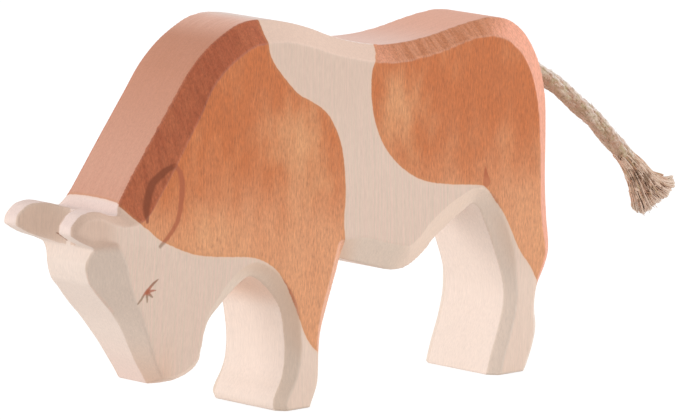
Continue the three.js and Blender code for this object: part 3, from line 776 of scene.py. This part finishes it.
# %% Colours of the stain, the ink and the cuts
STAIN_LOW = srgb(216, 151, 108)
STAIN_HIGH = srgb(191, 106, 54)
STAIN_PALE = srgb(220, 162, 115)
NECK_KNIFE = srgb(180, 99, 63)
NECK_KNIFE_DEEP = srgb(172, 89, 56)
NECK_KNIFE_BRIGHT = srgb(184, 104, 70)
NECK_KNIFE_DARK = srgb(148, 72, 44)
LEG_EDGE_HIGHLIGHT = srgb(228, 172, 142)
BACK_KNIFE = srgb(205, 138, 103)
BACK_KNIFE_DARK = srgb(190, 120, 82)
RUMP_KNIFE_LIT = srgb(230, 160, 132)
NECK_SAWN_STAIN_AND_SHADE = srgb(207, 154, 131)
NECK_SAWN_STAIN_AND_SHADE_HIGH = srgb(190, 131, 104)
HUMP_SAWN = srgb(228, 180, 160)
RUMP_SAWN = srgb(229, 173, 150)
SAWN_LINES = srgb(198, 140, 118)
BREATH = srgb(212, 170, 140)
HALO = srgb(228, 194, 166)
RIM = srgb(200, 140, 92)
PORE = srgb(160, 84, 50)
INK_RED = srgb(164, 84, 50)
INK_DARK = srgb(130, 64, 36)
INK_GREY = srgb(146, 116, 92)
EYE_RED = srgb(168, 92, 64)
EYE_BROWN = srgb(140, 92, 66)
CREASE_STAIN_AND_SHADE_LIGHT = srgb(184, 106, 66)
CREASE_STAIN_AND_SHADE_DEEP = srgb(166, 80, 42)
NOTCH_SHADE = srgb(150, 104, 80)

# %% Bare and stained maple
PITH = (420.0, 70.0)
THIN_PLACES = [(-7, 67, 17, 22), (27, 72, 13, 18), (-38, 47, 16, 12)]


def grain_of(tree, place):
    """Four patterns of the wood's grain: long streaks, short flecks, the finest lines and slow clouds."""
    streaks = noise(tree, place, (1.7, 1.7, 0.07), 3.0, 0.65)
    flecks = noise(tree, place, (2.2, 2.2, 0.75), 3.0, 0.62)
    fine = noise(tree, place, (3.2, 3.2, 0.45), 2.0, 0.6)
    clouds = noise(tree, place, (0.10, 0.10, 0.06), 3.0, 0.55)
    return streaks, flecks, fine, clouds


def bare_wood(tree, place, axes, grain, masks):
    """Pale maple: faint bands from the rings, fine lines, greyer knife cuts on the head with painted shade,
    painted shade on the horns, and painted light on the legs' sawn faces and low flat sides.
    """
    x, y, z = axes
    streaks, _, fine, _ = grain
    warp = noise(tree, place, (0.05, 0.05, 0.012), 2.0)
    from_pith = [calc(tree, "SUBTRACT", axis, middle) for axis, middle in zip((x, y), PITH)]
    ring = calc(tree, "MULTIPLY_ADD", warp, 9.0, length_of(tree, *from_pith))
    bands = add(tree, "ShaderNodeTexNoise", {"W": ring, "Scale": 1.5, "Detail": 2.0, "Roughness": 0.6},
                noise_dimensions="1D").outputs["Fac"]

    on_head = rise(tree, x, -44, -50)
    high = rise(tree, z, 46, 49)
    # Painted shade on the horns, deeper on the near horn than on the far one.
    horn = fade(tree, y, -3, 3, HORN_KNIFE_SHADE, HORN_KNIFE_SHADE_FAR)
    # Painted shade: the knife cuts on the head are greyer and darker than those on the body.
    head_cut_shade = mix(tree, times(tree, high, rise(tree, x, -54, -58)), HEAD_KNIFE_SHADE, horn)
    cut = mix(tree, on_head, BARE_KNIFE, head_cut_shade)
    cut = fade(tree, z, 68, 78, cut, SADDLE_KNIFE)
    on_leg = times(tree, rise(tree, z, 50, 42), rise(tree, x, -44, -36))
    off_belly = rise(tree, calc(tree, "ABSOLUTE", calc(tree, "SUBTRACT", x, 40.0)), 8, 16)
    leg_cut = fade(tree, x, 30, 44, LEG_KNIFE, LEG_KNIFE_REAR)
    cut = mix(tree, times(tree, on_leg, off_belly), cut, leg_cut)

    side = fade(tree, bands, 0.36, 0.64, BARE_PINK, BARE_GREEN)
    # The horns' flat sides take the same painted shade.
    side = mix(tree, times(tree, high, rise(tree, x, -65, -72)), side, horn)
    side = fade(tree, z, 58, 84, side, SADDLE_SIDE, 0.5)
    # Painted light: the flat sides low on the legs, near the floor, are lighter.
    low_leg_light = times(tree, rise(tree, z, 34, 22), rise(tree, x, -22, -10, 0.0, 0.7))
    side = mix(tree, low_leg_light, side, LOW_LEG_SIDE_LIT)

    sawn = fade(tree, z, 50, 55, BARE_SAWN, COLLAR_SAWN)
    # Painted light: the sawn faces of the legs are lighter than the other sawn edges.
    sawn = mix(tree, on_leg, sawn, LEG_SAWN_LIT)
    arch = times(tree, rise(tree, z, 24, 31), rise(tree, x, 6, 0), on_leg)
    sawn = mix(tree, arch, sawn, ARCH_SAWN)

    bare = mix(tree, masks["knife"], side, cut)
    bare = mix(tree, masks["sawn"], bare, sawn)
    muzzle = mix(tree, masks["sawn"], MUZZLE_SIDE, MUZZLE_SAWN)
    bare = mix(tree, times(tree, rise(tree, z, 26, 7), on_head, 0.75), bare, muzzle)
    shade = times(tree, around(tree, streaks, 0.16, 1.0), around(tree, fine, 0.24, 1.0))
    return mix(tree, 1.0, bare, shade, "MULTIPLY")


def stained_wood(tree, place, axes, grain, masks):
    """Thin orange stain: paler low down, in clouds and in THIN_PLACES, full of short dark and pale flecks,
    deep red-brown on the knife cuts of neck and hump, lighter on the rump's and painted lighter still where
    they face backwards, a painted highlight on the front leg's rear cut, pinkish on the sawn edges, and
    painted shade on the neck's sawn top."""
    x, _, z = axes
    streaks, flecks, fine, clouds = grain
    height = calc(tree, "ADD", rise(tree, z, 25, 80), around(tree, clouds, 0.8))
    side = fade(tree, height, 0.0, 1.0, STAIN_LOW, STAIN_HIGH)
    pale = noise(tree, place, (0.16, 0.16, 0.075), 2.0, 0.5, Lacunarity=2.3)
    pale = around(tree, pale, 0.5, 0.37)
    for middle_x, middle_z, wide, high in THIN_PLACES:
        dx = calc(tree, "DIVIDE", calc(tree, "SUBTRACT", x, middle_x), wide)
        dz = calc(tree, "DIVIDE", calc(tree, "SUBTRACT", z, middle_z), high)
        pale = calc(tree, "ADD", pale, rise(tree, length_of(tree, dx, dz), 1.1, 0.0, 0.0, 0.28))
    side = fade(tree, pale, 0.34, 0.80, side, STAIN_PALE, 0.75)

    across = noise(tree, place, (0.85, 0.10, 0.10), 3.0, 0.62)
    rear_cut = fade(tree, across, 0.38, 0.62, BACK_KNIFE_DARK, BACK_KNIFE)
    # Painted light: knife cuts whose normal points backwards, along +X, turn lighter.
    rear_cut = fade(tree, masks["facing"], -0.04, 0.26, rear_cut, RUMP_KNIFE_LIT)
    front_cut = fade(tree, clouds, 0.35, 0.65, NECK_KNIFE_DEEP, NECK_KNIFE)
    front_cut = fade(tree, across, 0.40, 0.65, front_cut, NECK_KNIFE_BRIGHT, 0.35)
    front_cut = fade(tree, across, 0.50, 0.32, front_cut, NECK_KNIFE_DARK, 0.45)
    # Painted highlight: a soft light strip on the knife cut along the front leg's rear edge.
    leg_edge_highlight = times(tree, rise(tree, z, 54, 44), rise(tree, x, -12, -4))
    front_cut = mix(tree, leg_edge_highlight, front_cut, LEG_EDGE_HIGHLIGHT)
    cut = fade(tree, x, 10, 16, front_cut, rear_cut)

    top = fade(tree, x, -5, 15, SADDLE_SAWN, RUMP_SAWN)
    top = fade(tree, x, -24, -15, HUMP_SAWN, top)
    # The stain on the neck's sawn top is darkened as painted shade, and darker higher up.
    sawn = fade(tree, z, 62, 92, NECK_SAWN_STAIN_AND_SHADE, NECK_SAWN_STAIN_AND_SHADE_HIGH)
    sawn = fade(tree, x, -33, -22, sawn, top)
    over_saddle = times(tree, rise(tree, x, 50, 24), rise(tree, x, -18, -5), 0.6)
    sawn = mix(tree, over_saddle, sawn, SADDLE_SAWN)
    lines = noise(tree, place, (0.12, 1.5, 0.12), 3.0, 0.6)
    lines = times(tree, rise(tree, lines, 0.62, 0.38), rise(tree, x, -27, -18, 0.3, 0.12))
    sawn = mix(tree, lines, sawn, SAWN_LINES)

    stain = mix(tree, masks["knife"], side, cut)
    stain = mix(tree, masks["sawn"], stain, sawn)
    strength = calc(tree, "MULTIPLY_ADD", masks["sawn"], -0.65, 1.0)
    depth = calc(tree, "ADD", around(tree, flecks, 0.68), around(tree, streaks, 0.30))
    depth = calc(tree, "ADD", depth, around(tree, fine, 0.65))
    shade = calc(tree, "MULTIPLY_ADD", depth, strength, 1.0)
    stain = mix(tree, 1.0, stain, shade, "MULTIPLY")
    return mix(tree, times(tree, rise(tree, flecks, 0.42, 0.30), strength, 0.14), stain, PORE)


# %% The whole block's material
def maple_material():
    """Bare and stained maple, the two patches, the drawn strokes, two lines of painted shade, and painted
    highlights along the edges.
    """
    material, tree, shader, place = new_material("oiled_maple")
    split = add(tree, "ShaderNodeSeparateXYZ", {0: place}).outputs
    axes = [split[0], split[1], split[2]]
    x, y, z = axes
    half_sawn = read(tree, "sawn")
    masks = {name: read(tree, name) for name in ("edge", "saddle", "facing", "patch")}
    masks["sawn"] = rise(tree, half_sawn, 0.3, 0.7)
    masks["knife"] = rise(tree, read(tree, "knife"), 0.3, 0.7)
    grain = grain_of(tree, place)
    bare = bare_wood(tree, place, axes, grain, masks)
    stain = stained_wood(tree, place, axes, grain, masks)

    ragged = noise(tree, place, (0.8, 0.8, 0.8), 3.0, 0.6)
    patch = calc(tree, "ADD", masks["patch"], around(tree, ragged, 0.36))
    bare = fade(tree, patch, -0.9, -0.1, bare, HALO, 0.30)
    breath = times(tree, rise(tree, patch, -7, 0, 0.0, 0.45), masks["knife"], rise(tree, z, 50, 36))
    bare = mix(tree, breath, bare, BREATH)
    rim = times(tree, rise(tree, patch, 1.0, 0.2), rise(tree, patch, -0.1, 0.2), 0.28)
    stain = mix(tree, rim, stain, RIM)
    wood = fade(tree, patch, -0.16, 0.16, bare, stain)
    thin_stain = times(tree, masks["saddle"], masks["sawn"], rise(tree, patch, 0.3, -0.3))
    wood = mix(tree, times(tree, thin_stain, rise(tree, x, -8, 22, 0.0, 0.30)), wood, RUMP_SAWN)

    off_sawn = calc(tree, "SUBTRACT", 1.0, masks["sawn"])
    wobble = around(tree, noise(tree, place, (1.6, 1.6, 1.6), 2.0), 0.3)

    def drawn(places, strength, ink, soft=0.2):
        """The wood as it is so far, with one more stroke drawn on it."""
        inside = calc(tree, "ADD", stroke(tree, x, z, places), wobble)
        return mix(tree, times(tree, rise(tree, inside, -soft, soft), strength, off_sawn), wood, ink)

    # Darker stain and painted shade in the crease before the rear leg.
    wood = drawn(FLANK_CREASE_STAIN_AND_SHADE, 0.8, fade(tree, z, 50.5, 53.5, CREASE_STAIN_AND_SHADE_LIGHT, CREASE_STAIN_AND_SHADE_DEEP))
    wood = drawn(EAR_FRONT, 0.85, INK_DARK, soft=0.3)
    wood = drawn(EAR_BACK, 0.78, fade(tree, z, 46.8, 48, INK_GREY, INK_RED), soft=0.3)
    eye_ink = fade(tree, z, 34.2, 35.2, INK_GREY, EYE_RED)
    eye_ink = fade(tree, z, 36.2, 37.4, eye_ink, EYE_BROWN)
    for places in (EYE_LID, *EYE_LASHES):
        wood = drawn(places, 0.85, eye_ink)
    # Painted shade along the bottom of the notch between the horns, drawn in the plane of Y and Z.
    notch_line = rise(tree, stroke(tree, y, z, NOTCH_LINE_SHADE), -0.15, 0.15)
    notch_line = times(tree, notch_line, rise(tree, x, -69, -70), rise(tree, x, -76, -75))
    wood = mix(tree, notch_line, wood, NOTCH_SHADE)

    # Painted highlight: a thin bright line along the near edge of the saddle's sawn top, fading towards the
    # rump.
    border = times(tree, half_sawn, calc(tree, "SUBTRACT", 1.0, half_sawn))
    saddle_highlight = times(tree, rise(tree, border, 0.12, 0.22), rise(tree, y, 0, -4), masks["saddle"])
    saddle_highlight = times(tree, saddle_highlight, rise(tree, x, -6, 8), rise(tree, x, 16, 30, 0.9, 0.12))
    wood = mix(tree, saddle_highlight, wood, SADDLE_EDGE_HIGHLIGHT)
    # Painted highlight: edges that stand out from their neighbours are painted a little lighter.
    wood = fade(tree, masks["edge"], 0.02, 0.06, wood, EDGE_HIGHLIGHT, 0.04)

    tree.links.new(wood, shader.inputs["Base Color"])
    streaks, flecks, fine, _ = grain
    rough = calc(tree, "MULTIPLY_ADD", masks["sawn"], 0.10, around(tree, streaks, 0.16, 0.58))
    tree.links.new(rough, shader.inputs["Roughness"])
    lift = calc(tree, "ADD", times(tree, flecks, 0.7), times(tree, fine, 0.3))
    bump = add(tree, "ShaderNodeBump", {"Height": lift, "Strength": 0.35, "Distance": 0.06 * MM})
    tree.links.new(bump.outputs[0], shader.inputs["Normal"])
    shader.inputs["Specular IOR Level"].default_value = 0.35
    return material


block.data.materials.append(maple_material())
print("maple ready")

# %% [markdown]
# ## Hemp
# Raw hemp is a dull grey-brown beige. Seen close, each yarn is a bundle of fibres of slightly different
# colours, and the grooves between the strands are painted darker as shade. The yarns are drawn as slanting
# stripes from the numbers stored round and along each strand, broken up by noise so that no two look alike.

# %% Hemp materials
HEMP_PALE = srgb(222, 203, 187)
HEMP_OLIVE = srgb(178, 156, 122)
HEMP_ROSE = srgb(188, 150, 126)
HEMP_DARK = srgb(118, 88, 64)
HEMP_TOP_HIGHLIGHT = srgb(238, 226, 220)
FIBRE_ROSE = srgb(194, 150, 122)
FIBRE_OLIVE = srgb(186, 160, 126)
FIBRE_PALE = srgb(232, 206, 186)
FIBRE_SHADE = srgb(126, 94, 70)
FIBRE_TIP = srgb(238, 222, 208)


def rope_material():
    """Laid hemp: long fibres along each strand in three tints, dark flecks between them, painted shade in the
    grooves, a painted highlight on the upper side and painted shade on the lower side."""
    material, tree, shader, place = new_material("laid_hemp")
    along, round_way, strand = read(tree, "along"), read(tree, "round"), read(tree, "strand")
    angle = times(tree, round_way, 2 * math.pi)
    wide = calc(tree, "MULTIPLY_ADD", calc(tree, "COSINE", angle), 1.5, times(tree, strand, 9.0))
    deep = times(tree, calc(tree, "SINE", angle), 1.5)
    strip = add(tree, "ShaderNodeCombineXYZ", {0: wide, 1: deep, 2: along}).outputs[0]
    fibres = noise(tree, strip, (2.4, 2.4, 0.40), 4.0, 0.68)
    yarns = noise(tree, strip, (1.0, 1.0, 0.22), 2.0, 0.5)
    blotches = noise(tree, place, (0.42, 0.42, 0.42), 2.0, 0.5)
    tangle = noise(tree, place, (0.95, 0.95, 0.95), 3.0, 0.6, Distortion=1.4)
    colour = fade(tree, blotches, 0.40, 0.60, HEMP_ROSE, HEMP_OLIVE)
    pale_from = ((yarns, 0.48, 0.70, 0.55), (tangle, 0.50, 0.64, 0.50), (fibres, 0.52, 0.70, 0.60))
    for pattern, low, high, cover in pale_from:
        colour = fade(tree, pattern, low, high, colour, HEMP_PALE, cover)
    # Painted highlight where the surface faces up and backwards, painted shade where it faces down and
    # forwards.
    normal = add(tree, "ShaderNodeSeparateXYZ", {0: add(tree, "ShaderNodeNewGeometry").outputs["Normal"]})
    facing = calc(tree, "ADD", normal.outputs[2], normal.outputs[0])
    colour = fade(tree, facing, 0.20, 1.20, colour, HEMP_TOP_HIGHLIGHT, 0.75)
    colour = fade(tree, facing, -0.1, -1.1, colour, HEMP_ROSE, 0.5)
    # Painted shade in the grooves, where a point lies close to the rope's line; the dark flecks come from
    # noise.
    outward = read(tree, "outward")
    dark_below = ((tangle, 0.44, 0.32, 0.60), (fibres, 0.45, 0.32, 0.55), (outward, 0.88, 0.70, 0.60))
    for pattern, high, low, cover in dark_below:
        colour = fade(tree, pattern, high, low, colour, HEMP_DARK, cover)
    tree.links.new(colour, shader.inputs["Base Color"])
    bump = add(tree, "ShaderNodeBump", {"Height": fibres, "Strength": 0.6, "Distance": 0.2 * MM})
    tree.links.new(bump.outputs[0], shader.inputs["Normal"])
    shader.inputs["Roughness"].default_value = 0.9
    shader.inputs["Specular IOR Level"].default_value = 0.2
    shader.inputs["Sheen Weight"].default_value = 0.15
    return material


def fibre_material():
    """Single hemp fibres: each has its own tint, and patches of painted shade lie across them, deepest in the
    heart of the brush.
    """
    material, tree, shader, place = new_material("hemp_fibres")
    tint = read(tree, "tint")
    blotches = noise(tree, place, (0.45, 0.45, 0.45), 2.0, 0.5)
    colour = fade(tree, blotches, 0.45, 0.65, FIBRE_ROSE, FIBRE_OLIVE)
    colour = fade(tree, tint, 0.20, 0.65, colour, FIBRE_PALE, 0.9)
    # Painted shade between the fibres, in patches, deepest at the brush's heart.
    shade_patches = noise(tree, place, (0.55, 0.55, 0.55), 3.0, 0.6)
    shade_patches = calc(tree, "MULTIPLY_ADD", read(tree, "heart"), -0.15, shade_patches)
    colour = fade(tree, shade_patches, 0.45, 0.30, colour, FIBRE_SHADE, 0.7)
    colour = mix(tree, rise(tree, read(tree, "tip"), 0.75, 1.0, 0.0, 0.35), colour, FIBRE_TIP)
    tree.links.new(colour, shader.inputs["Base Color"])
    shader.inputs["Roughness"].default_value = 0.85
    shader.inputs["Specular IOR Level"].default_value = 0.2
    return material


rope.data.materials.append(rope_material())
fibres = fibre_material()
tuft.data.materials.append(fibres)
hairs.data.materials.append(fibres)
print("hemp ready")

# %% [markdown]
# ## Floor and light
# The bull stands on a white ground with hardly any shadow, lit softly from all round and a little more from
# the side that its forehead faces. The world gives the even part and two large lamps the rest. The ground is
# a pale matt sheet. To the camera it also glows a little, so that it reads as white paper, while the light
# that it throws back at the bull stays that of a plain pale floor, and a faint shadow stays under the feet.

# %% Floor
GROUND_DROP = 0.02 * MM
GROUND_LIT = (0.90, 0.90, 0.90, 1)
GROUND_SEEN = (0.30, 0.30, 0.30, 1)
GROUND_GLOW = 0.80


def seen_directly(tree):
    """1 for rays that show the studio itself, in the picture, in gloss or through glass, 0 for its light."""
    paths = add(tree, "ShaderNodeLightPath").outputs
    mirrored = calc(tree, "MAXIMUM", paths["Is Glossy Ray"], paths["Is Transmission Ray"])
    return calc(tree, "MAXIMUM", paths["Is Camera Ray"], mirrored)


def white_floor():
    """A large disc just below the soles, matt white, with an added glow for camera and mirror rays."""
    bpy.ops.mesh.primitive_circle_add(vertices=96, radius=6, fill_type="NGON", location=(0, 0, -GROUND_DROP))
    floor = bpy.context.object
    floor.name = "floor"
    material = bpy.data.materials.new("white_ground")
    material.use_nodes = True
    tree = material.node_tree
    tree.nodes.clear()
    matt = add(tree, "ShaderNodeBsdfDiffuse", {"Color": GROUND_LIT})
    dim = add(tree, "ShaderNodeBsdfDiffuse", {"Color": GROUND_SEEN})
    glow = add(tree, "ShaderNodeEmission", {"Strength": GROUND_GLOW})
    paper = add(tree, "ShaderNodeAddShader", {0: dim.outputs[0], 1: glow.outputs[0]})
    both = add(tree, "ShaderNodeMixShader", {0: seen_directly(tree), 1: matt.outputs[0], 2: paper.outputs[0]})
    add(tree, "ShaderNodeOutputMaterial", {"Surface": both.outputs[0]})
    floor.data.materials.append(material)


white_floor()

# %% Light
WORLD_LIGHT = 0.78
BULL_MIDDLE = Vector((0, 0, 0.05))


def soft_world():
    """An even white sky: plain white to the camera, and WORLD_LIGHT strong for everything it lights."""
    world = bpy.data.worlds.new("studio")
    bpy.context.scene.world = world
    world.use_nodes = True
    tree = world.node_tree
    tree.nodes.clear()
    strength = calc(tree, "MULTIPLY_ADD", seen_directly(tree), 1 - WORLD_LIGHT, WORLD_LIGHT)
    sky = add(tree, "ShaderNodeBackground", {"Color": (1, 1, 1, 1), "Strength": strength})
    add(tree, "ShaderNodeOutputWorld", {"Surface": sky.outputs[0]})


def soft_lamp(name, place, size, power):
    """A square area lamp that looks at the bull's middle."""
    data = bpy.data.lights.new(name, "AREA")
    data.shape = "SQUARE"
    data.size = size
    data.energy = power
    lamp = bpy.data.objects.new(name, data)
    bpy.context.scene.collection.objects.link(lamp)
    lamp.location = place
    lamp.rotation_mode = "QUATERNION"
    lamp.rotation_quaternion = (BULL_MIDDLE - Vector(place)).to_track_quat("-Z", "Y")


soft_world()
soft_lamp("left", (-1.45, 1.25, 0.22), 1.2, 23)
soft_lamp("right", (1.5, -1.15, 0.35), 1.0, 15)

# %% Colour
bpy.context.scene.view_settings.view_transform = "Standard"
